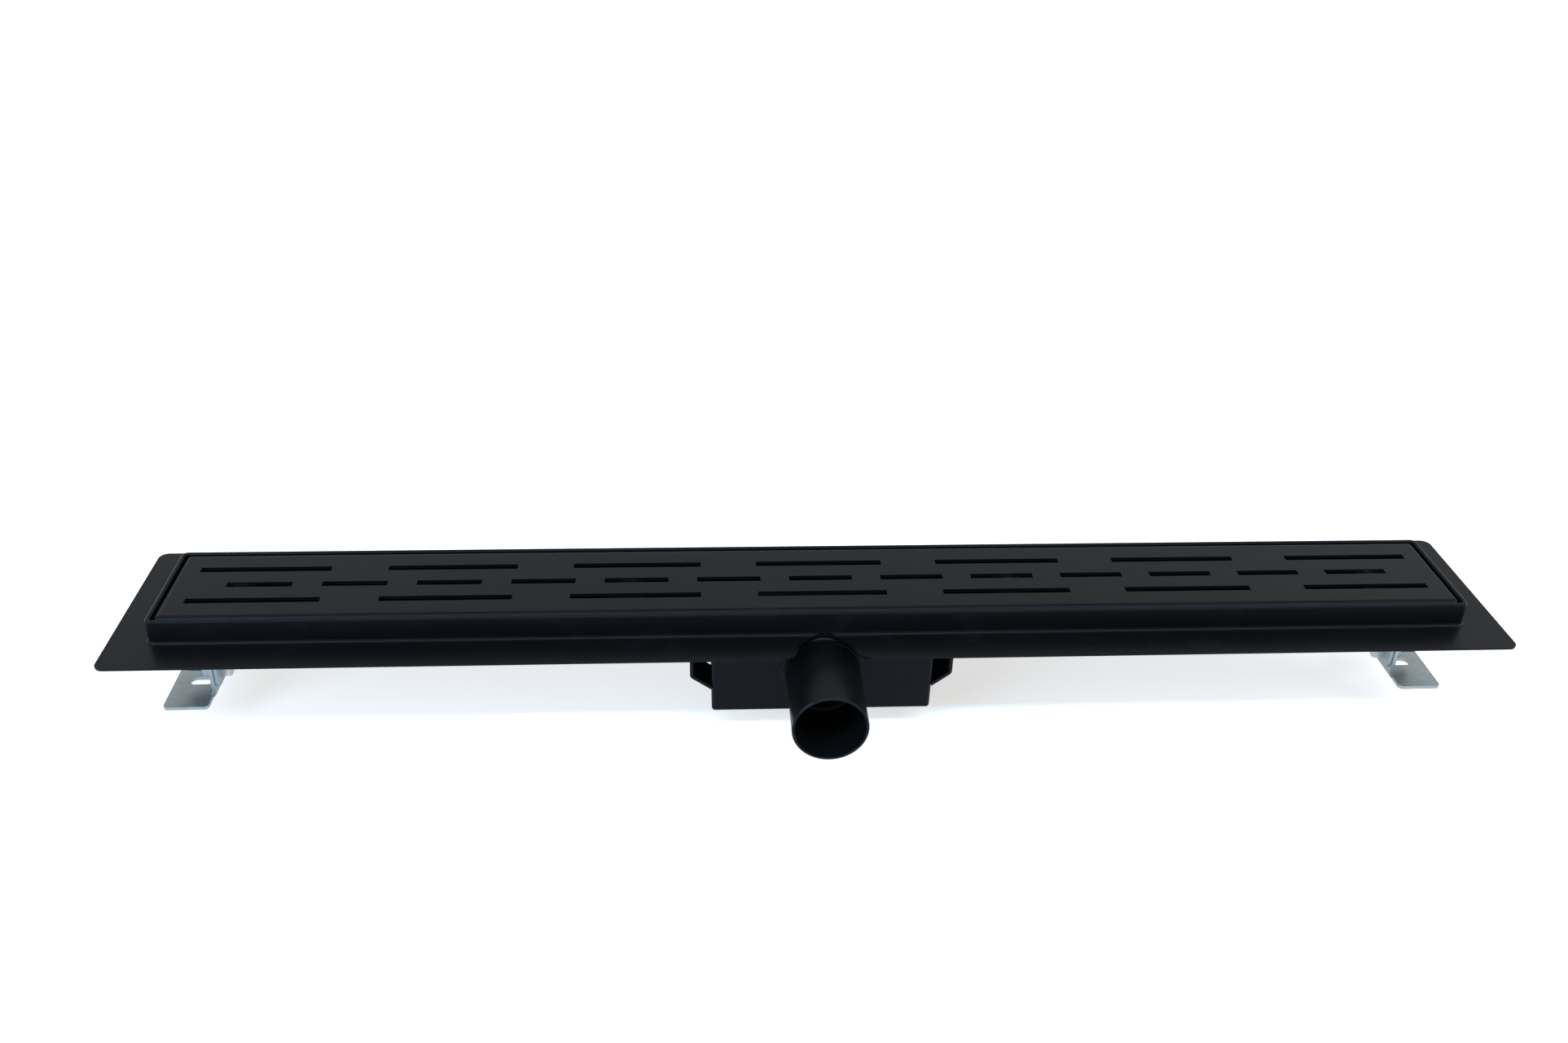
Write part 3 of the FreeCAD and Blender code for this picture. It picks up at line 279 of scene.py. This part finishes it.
def galvanised_sheet(sizes):
    """Galvanised sheet: flat crystals, each of its own brightness, over faint rolling lines."""
    finish = Finish("galvanised_sheet")
    crystals = finish.node("ShaderNodeTexVoronoi", {"feature": "F1"}, {
        "Vector": finish.places, "Scale": 1 / sizes.spangle, "Randomness": 1.0}, "Color")
    crystal = finish.node("ShaderNodeSeparateColor", {}, {"Color": crystals}, "Red")
    line_width, dull_width = 0.0012, 0.018
    rolled = finish.noise(line_width, 3.0, 0.6, finish.stretched((0.06, 1.0, 1.0)))
    dull = finish.noise(dull_width, 3.0, 0.6)
    mixed = finish.spread(crystal * 0.2 + rolled * 0.3 + dull * 0.5, 0.3, 0.7)
    shade = finish.blend(mixed, tint(sizes.galvanised, 0.86), tint(sizes.galvanised, 1.12))
    return finish.close({
        "Base Color": shade, "Metallic": 1.0, "Roughness": 0.29 + crystal * 0.05 + dull * 0.12,
        "Normal": finish.bump(rolled, 0.00002, 0.25)})


def zinc_plate(sizes):
    """Bright zinc plate with slight dulling."""
    finish = Finish("zinc_plate")
    dull_width, grain_width = 0.003, 0.0004
    dull = finish.noise(dull_width, 3.0, 0.6)
    fine = finish.noise(grain_width, 2.0, 0.5)
    shade = finish.blend(dull, tint(sizes.zinc, 0.75), tint(sizes.zinc))
    return finish.close({
        "Base Color": shade, "Metallic": 1.0, "Roughness": 0.22 + dull * 0.16,
        "Normal": finish.bump(fine, 0.00001, 0.3)})


def moulded_plastic(sizes):
    """Black polypropylene with the fine texture of an eroded mould."""
    finish = Finish("moulded_plastic")
    grain_width, cloud_width = 0.0005, 0.02
    fine = finish.noise(grain_width, 2.0, 0.6)
    cloud = finish.noise(cloud_width, 2.0, 0.5)
    shade = finish.blend(cloud, tint(sizes.trap), tint(sizes.trap, 1.5))
    return finish.close({
        "Base Color": shade, "Roughness": 0.42 + fine * 0.12,
        "Normal": finish.bump(fine, 0.00003, 0.4), "Specular IOR Level": 0.4})


def seal_rubber(sizes):
    """Matt sealing rubber with a trace of chalky bloom."""
    finish = Finish("seal_rubber")
    bloom_width, grain_width = 0.004, 0.0003
    bloom = finish.noise(bloom_width, 3.0, 0.6)
    fine = finish.noise(grain_width, 2.0, 0.5)
    shade = finish.blend(finish.spread(bloom, 0.4, 0.8), tint(sizes.seal), tint(sizes.seal, 2.2))
    return finish.close({
        "Base Color": shade, "Roughness": 0.62 + bloom * 0.15,
        "Normal": finish.bump(fine, 0.00002, 0.4), "Specular IOR Level": 0.3})


def paint(slot, material):
    """Gives the CAD nodes of a slot their finish."""
    for entry in frame["record"]["subparts"]:
        if entry["material_slot"] == slot:
            shown = frame["nodes"][entry["node"]]
            for place in shown.material_slots:
                place.material = material


# ---------------------------------------------------------------- modelling by hand

ROUND_SIDES = 64
THREAD_STEPS = 24
SHARP_EDGE = math.radians(30)
FLAT_END = 0.9  # least vertical part of an end face's normal

def only(made):
    """Selects one object and nothing else."""
    bpy.ops.object.select_all(action="DESELECT")
    made.select_set(True)
    bpy.context.view_layer.objects.active = made


def edit(made, kind):
    """Goes into edit mode with nothing selected."""
    only(made)
    bpy.ops.object.mode_set(mode="EDIT")
    bpy.ops.mesh.select_mode(type=kind)
    bpy.ops.mesh.select_all(action="DESELECT")


def choose(made, kind, elements, wanted):
    """Goes into edit mode with the vertices or faces selected that are wanted."""
    edit(made, kind)
    bpy.ops.object.mode_set(mode="OBJECT")
    for element in elements:
        element.select = wanted(element)
    bpy.ops.object.mode_set(mode="EDIT")


def leave():
    bpy.ops.object.mode_set(mode="OBJECT")


def settle(made):
    """Puts the place and turn of an object into its mesh."""
    only(made)
    bpy.ops.object.transform_apply(location=True, rotation=True, scale=True)
    return made


def prism(name, radius, low, high, sides, turn=0.0):
    """An upright prism between two heights."""
    bpy.ops.object.select_all(action="DESELECT")
    bpy.ops.mesh.primitive_cylinder_add(
        vertices=sides, radius=radius, depth=high - low, location=(0, 0, (low + high) / 2),
        rotation=(0, 0, turn))
    bpy.context.object.name = name
    return settle(bpy.context.object)


def draw_out(made, up, rise, radius, radius_before):
    """Extrudes an end face of a round piece by rise and brings it to another radius."""
    heights = [vertex.co.z for vertex in made.data.vertices]
    edge = max(heights) if up else min(heights)
    choose(made, "FACE", made.data.polygons,
           lambda face: abs(face.normal.z) > FLAT_END and abs(face.center.z - edge) < 1e-6)
    step = rise if up else -rise
    bpy.ops.mesh.extrude_region_move(TRANSFORM_OT_translate={"value": (0, 0, step)})
    times = radius / radius_before
    bpy.ops.transform.resize(value=(times, times, 1), center_override=(0, 0, edge + step))
    leave()


def spindle(name, radius, low, high, end_radius, rise, top_end=None):
    """A round bar whose ends open or close to another radius over their rise.

    The top may have a radius of its own. An end with the bar's own radius stays square.
    """
    top = end_radius if top_end is None else top_end
    low_rise = rise if end_radius != radius else 0
    high_rise = rise if top != radius else 0
    made = prism(name, radius, low + low_rise, high - high_rise, ROUND_SIDES,
                 math.pi / ROUND_SIDES)
    if low_rise:
        draw_out(made, False, low_rise, end_radius, radius)
    if high_rise:
        draw_out(made, True, high_rise, top, radius)
    return made


def combine(made, tool, operation):
    """Applies a boolean with another piece, which is used up."""
    only(made)
    modifier = made.modifiers.new(operation.lower(), "BOOLEAN")
    modifier.operation = operation
    modifier.solver = "EXACT"
    modifier.object = tool
    bpy.ops.object.modifier_apply(modifier=modifier.name)
    bpy.data.objects.remove(tool)
    return made


def join(made, other):
    """Joins a second closed shell to a piece."""
    only(made)
    other.select_set(True)
    bpy.ops.object.join()
    return made


def threaded_rod(name, radius, pitch, low, high):
    """A rod with a helical thread, flat crests and coned ends.

    The thread's profile is turned to a point past the rod's radius and longer than the rod, and
    the coned bar that it is cut with gives it its flat crests and its ends.
    """
    crest = radius + pitch * 0.06
    spare = pitch * 0.37
    lead_cone = pitch * 0.6
    bpy.ops.object.select_all(action="DESELECT")
    bpy.ops.mesh.primitive_circle_add(
        vertices=4, radius=pitch / 2, location=(crest, 0, low - 2 * pitch),
        rotation=(math.pi / 2, 0, 0))
    made = settle(bpy.context.object)
    made.name = name
    choose(made, "VERT", made.data.vertices, lambda vertex: vertex.co.x > crest + pitch / 4)
    bpy.ops.mesh.delete(type="VERT")
    leave()
    modifier = made.modifiers.new("helix", "SCREW")
    modifier.axis = "Z"
    modifier.angle = 2 * math.pi
    modifier.screw_offset = pitch
    modifier.iterations = math.ceil((high - low) / pitch) + 4
    modifier.steps = modifier.render_steps = THREAD_STEPS
    bpy.ops.object.modifier_apply(modifier=modifier.name)
    for height, side in ((low - spare, -1), (high + spare, 1)):
        edit(made, "VERT")
        bpy.ops.mesh.select_all(action="SELECT")
        bpy.ops.mesh.remove_doubles(threshold=pitch / 200)
        bpy.ops.mesh.bisect(plane_co=(0, 0, height), plane_no=(0, 0, side), use_fill=True,
                            clear_outer=True)
        bpy.ops.mesh.select_all(action="SELECT")
        bpy.ops.mesh.normals_make_consistent(inside=False)
        leave()
    lead = spindle("lead", radius, low, high, radius - lead_cone, lead_cone)
    return combine(made, lead, "INTERSECT")


def hexagon(name, flats, low, high, crowned_low, turn=0.0):
    """A hexagon whose corners are crowned at its top, and at its foot where wanted."""
    corner = flats / math.sqrt(3)
    reach = corner * 1.01
    crown = flats * 0.475
    pad = flats * 0.1
    made = prism(name, corner, low - pad, high + pad, 6, turn)
    lead = spindle("lead", reach, low, high, crown if crowned_low else reach,
                   (reach - crown) * 0.5, crown)
    return combine(made, lead, "INTERSECT")


def bored(made, radius, low, high):
    """Bores a nut and countersinks both ends of its bore."""
    sink = radius * 0.22
    tool = spindle("bore", radius, low - sink, high + sink, radius + 2 * sink, 2 * sink)
    return combine(made, tool, "DIFFERENCE")


def place_copy(made, node, material, turn, place):
    """Sets a copy of a piece where its CAD node is, and lets it stand for the node."""
    copy = made.copy()
    copy.data = made.data.copy()
    bpy.context.scene.collection.objects.link(copy)
    copy.name = "fine_" + node
    copy.rotation_euler = turn
    copy.location = place
    settle(copy)
    bpy.ops.object.shade_smooth_by_angle(angle=SHARP_EDGE)
    copy.data.materials.clear()
    copy.data.materials.append(material)
    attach(copy, frame["nodes"][node]["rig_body"])
    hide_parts(node)


# ---------------------------------------------------------------- operators

class DRAIN_OT_coated_steel(bpy.types.Operator):
    """Powder coats the channel, the sump, the pipe, the grate, its bridges and the braces"""
    bl_idname = "drain.coated_steel"
    bl_label = "Coated steel"

    def execute(self, context):
        paint("black_coat", powder_coat(context.scene.drain_coat))
        return {"FINISHED"}


class DRAIN_OT_feet(bpy.types.Operator):
    """Gives the feet and their brackets their galvanised finish"""
    bl_idname = "drain.feet"
    bl_label = "Feet"

    def execute(self, context):
        paint("galvanised", galvanised_sheet(context.scene.drain_steel))
        return {"FINISHED"}


class DRAIN_OT_plain_fasteners(bpy.types.Operator):
    """Plates the washers and spacers, and makes the plate for the threaded fasteners"""
    bl_idname = "drain.plain_fasteners"
    bl_label = "Washers and spacers"

    def execute(self, context):
        paint("zinc_fastener", zinc_plate(context.scene.drain_steel))
        return {"FINISHED"}


class DRAIN_OT_trap(bpy.types.Operator):
    """Gives the trap and its seal their plastic and rubber"""
    bl_idname = "drain.trap"
    bl_label = "Trap"

    def execute(self, context):
        paint("black_plastic", moulded_plastic(context.scene.drain_plastic))
        paint("seal_rubber", seal_rubber(context.scene.drain_plastic))
        return {"FINISHED"}


class DRAIN_OT_foot_bolts(bpy.types.Operator):
    """Models the threaded clamping bolts of the feet and their nuts"""
    bl_idname = "drain.foot_bolts"
    bl_label = "Foot bolts"

    def execute(self, context):
        sizes = context.scene.drain_fasteners
        zinc = bpy.data.materials["zinc_plate"]
        low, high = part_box("bolt_left")
        whole = high.x - low.x
        seat = whole - sizes.bolt_head
        radius = sizes.bolt_thread / 2
        point_up = math.pi / 6
        bolt = hexagon("bolt", sizes.bolt_flats, seat, whole, False, point_up)
        join(bolt, threaded_rod("shank", radius, sizes.bolt_pitch, 0, seat + sizes.bolt_pitch))
        low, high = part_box("nut_left")
        deep = high.x - low.x
        nut = hexagon("nut", sizes.bolt_flats, 0, deep, True, point_up)
        bored(nut, radius + sizes.clearance, 0, deep)
        for side, turn in (("left", math.pi / 2), ("right", -math.pi / 2)):
            for made in (bolt, nut):
                node = made.name + "_" + side
                low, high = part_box(node)
                place = (low.x if side == "left" else high.x, 0, (low.z + high.z) / 2)
                place_copy(made, node, zinc, (0, turn, 0), place)
        bpy.data.objects.remove(bolt)
        bpy.data.objects.remove(nut)
        return {"FINISHED"}


class DRAIN_OT_bracket_studs(bpy.types.Operator):
    """Models the threaded weld studs of the foot brackets and their nuts"""
    bl_idname = "drain.bracket_studs"
    bl_label = "Bracket studs"

    def execute(self, context):
        sizes = context.scene.drain_fasteners
        zinc = bpy.data.materials["zinc_plate"]
        radius = sizes.stud_thread / 2
        low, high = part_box("bracket_stud_left")
        stud = threaded_rod("bracket_stud", radius, sizes.stud_pitch, low.z, high.z)
        low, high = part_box("bracket_nut_left")
        nut = hexagon("bracket_nut", sizes.stud_flats, low.z, high.z, True)
        bored(nut, radius + sizes.clearance, low.z, high.z)
        for side in ("left", "right"):
            for made in (stud, nut):
                node = made.name + "_" + side
                low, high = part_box(node)
                place_copy(made, node, zinc, (0, 0, 0), ((low.x + high.x) / 2, 0, 0))
        bpy.data.objects.remove(stud)
        bpy.data.objects.remove(nut)
        return {"FINISHED"}


class DRAIN_OT_bridge_screws(bpy.types.Operator):
    """Models the domed socket screws of the grate bridges"""
    bl_idname = "drain.bridge_screws"
    bl_label = "Bridge screws"

    def execute(self, context):
        sizes = context.scene.drain_fasteners
        zinc = bpy.data.materials["zinc_plate"]
        low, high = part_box("bridge_screw_1")
        radius = (high.x - low.x) / 2
        seat = high.z - sizes.screw_head
        rim = sizes.screw_head * 0.4
        dome = sizes.screw_head - rim
        steps, step_lean = 6, math.radians(14)
        socket_depth = sizes.screw_head * 0.62
        screw = prism("bridge_screw", radius, seat, seat + rim, ROUND_SIDES)
        before, height = radius, 0.0
        for step in range(1, steps + 1):
            lean = step * step_lean
            after = radius * math.cos(lean)
            rise = dome * math.sin(lean) / math.sin(steps * step_lean) - height
            draw_out(screw, True, rise, after, before)
            before, height = after, height + rise
        socket = prism("socket", sizes.socket / math.sqrt(3), high.z - socket_depth,
                       high.z + sizes.screw_head, 6)
        combine(screw, socket, "DIFFERENCE")
        join(screw, threaded_rod("shank", sizes.stud_thread / 2, sizes.stud_pitch, low.z,
                                 seat + rim * 0.4))
        for number in range(1, 5):
            node = f"bridge_screw_{number}"
            low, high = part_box(node)
            place_copy(screw, node, zinc, (0, 0, 0), ((low.x + high.x) / 2, 0, 0))
        bpy.data.objects.remove(screw)
        return {"FINISHED"}


def lamp(name, place, aim, width, height, radiance, tone):
    """A soft rectangular lamp, whose power follows from its size and its radiance."""
    bpy.ops.object.light_add(type="AREA", location=place)
    made = bpy.context.object
    made.name = name
    made.rotation_euler = (Vector(aim) - Vector(place)).to_track_quat("-Z", "Y").to_euler()
    made.data.shape = "RECTANGLE"
    made.data.size = width
    made.data.size_y = height
    made.data.energy = radiance * math.pi * width * height
    made.data.color = tone


# name, place, aim, width, height, radiance and the size that holds the colour
LAMPS = (
    ("lamp_front", (0, -0.85, 1.35), (0, 0, 0.03), 2.6, 0.16, 18, "cool"),
    ("lamp_left", (-1.2, -0.9, 0.6), (-0.1, 0, 0.03), 0.8, 0.6, 8, "cool"),
    ("lamp_right", (1.3, -0.3, 0.6), (0.1, 0, 0.03), 0.6, 0.6, 5, "warm"),
)


class DRAIN_OT_stage(bpy.types.Operator):
    """Lays the floor and sets the lamps, the sky and the camera"""
    bl_idname = "drain.stage"
    bl_label = "Stage"

    def execute(self, context):
        sizes = context.scene.drain_stage
        bpy.ops.object.select_all(action="DESELECT")
        bpy.ops.mesh.primitive_plane_add(
            size=2 * sizes.reach, location=(0, 0, CAD_BOX[0][2] - sizes.room))
        floor = settle(context.object)
        floor.name = "floor"
        finish = Finish("pale_floor")
        speck = finish.noise(0.004, 2.0, 0.5)
        flat = finish.node("ShaderNodeBsdfDiffuse", {}, {
            "Color": finish.blend(speck, tint(sizes.floor, 0.99), tint(sizes.floor)),
            "Roughness": 0.5}, "BSDF")
        glow = finish.node("ShaderNodeEmission", {}, {
            "Strength": finish.looked_at() * sizes.glow}, "Emission")
        both = finish.node("ShaderNodeAddShader", {}, {0: flat, 1: glow})
        finish.node("ShaderNodeOutputMaterial", {}, {"Surface": both})
        floor.data.materials.append(finish.owner)

        context.scene.world = bpy.data.worlds.new("studio")
        sky = Nodes(context.scene.world)
        light = sky.blend(sky.looked_at(), tint(sizes.sky), (1, 1, 1, 1))
        shown = sky.node("ShaderNodeBackground", {}, {"Color": light})
        sky.node("ShaderNodeOutputWorld", {}, {"Surface": shown})

        for name, place, aim, width, height, radiance, tone in LAMPS:
            lamp(name, place, aim, width, height, radiance, getattr(sizes, tone))

        bpy.ops.object.camera_add(location=sizes.eye, rotation=sizes.turn)
        eye = context.object
        eye.data.lens = sizes.lens
        eye.data.sensor_width = 36
        eye.data.clip_start = 0.01
        context.scene.camera = eye
        context.scene.view_settings.view_transform = "Standard"
        return {"FINISHED"}


# ---------------------------------------------------------------- panel and registration

OPERATORS = (DRAIN_OT_coated_steel, DRAIN_OT_feet, DRAIN_OT_plain_fasteners, DRAIN_OT_trap,
             DRAIN_OT_foot_bolts, DRAIN_OT_bracket_studs, DRAIN_OT_bridge_screws, DRAIN_OT_stage)
GROUPS = (("drain_coat", CoatSizes), ("drain_steel", SteelSizes),
          ("drain_fasteners", FastenerSizes), ("drain_plastic", PlasticSizes),
          ("drain_stage", StageSizes))


class DRAIN_PT_panel(bpy.types.Panel):
    """The drain's steps and sizes"""
    bl_idname = "DRAIN_PT_panel"
    bl_label = "Channel drain"
    bl_space_type = "VIEW_3D"
    bl_region_type = "UI"
    bl_category = "Channel drain"

    def draw(self, context):
        for step in OPERATORS:
            self.layout.operator(step.bl_idname)
        for name, group in GROUPS:
            box = self.layout.box()
            for entry in group.__annotations__:
                box.prop(getattr(context.scene, name), entry)


def register():
    for name, group in GROUPS:
        bpy.utils.register_class(group)
        setattr(bpy.types.Scene, name, bpy.props.PointerProperty(type=group))
    for step in OPERATORS:
        bpy.utils.register_class(step)
    bpy.utils.register_class(DRAIN_PT_panel)


def unregister():
    bpy.utils.unregister_class(DRAIN_PT_panel)
    for step in reversed(OPERATORS):
        bpy.utils.unregister_class(step)
    for name, group in reversed(GROUPS):
        delattr(bpy.types.Scene, name)
        bpy.utils.unregister_class(group)


def main():
    register()
    bpy.ops.drain.coated_steel()
    bpy.ops.drain.feet()
    bpy.ops.drain.plain_fasteners()
    bpy.ops.drain.trap()
    bpy.ops.drain.foot_bolts()
    bpy.ops.drain.bracket_studs()
    bpy.ops.drain.bridge_screws()
    bpy.ops.drain.stage()


if __name__ == "__main__":
    main()
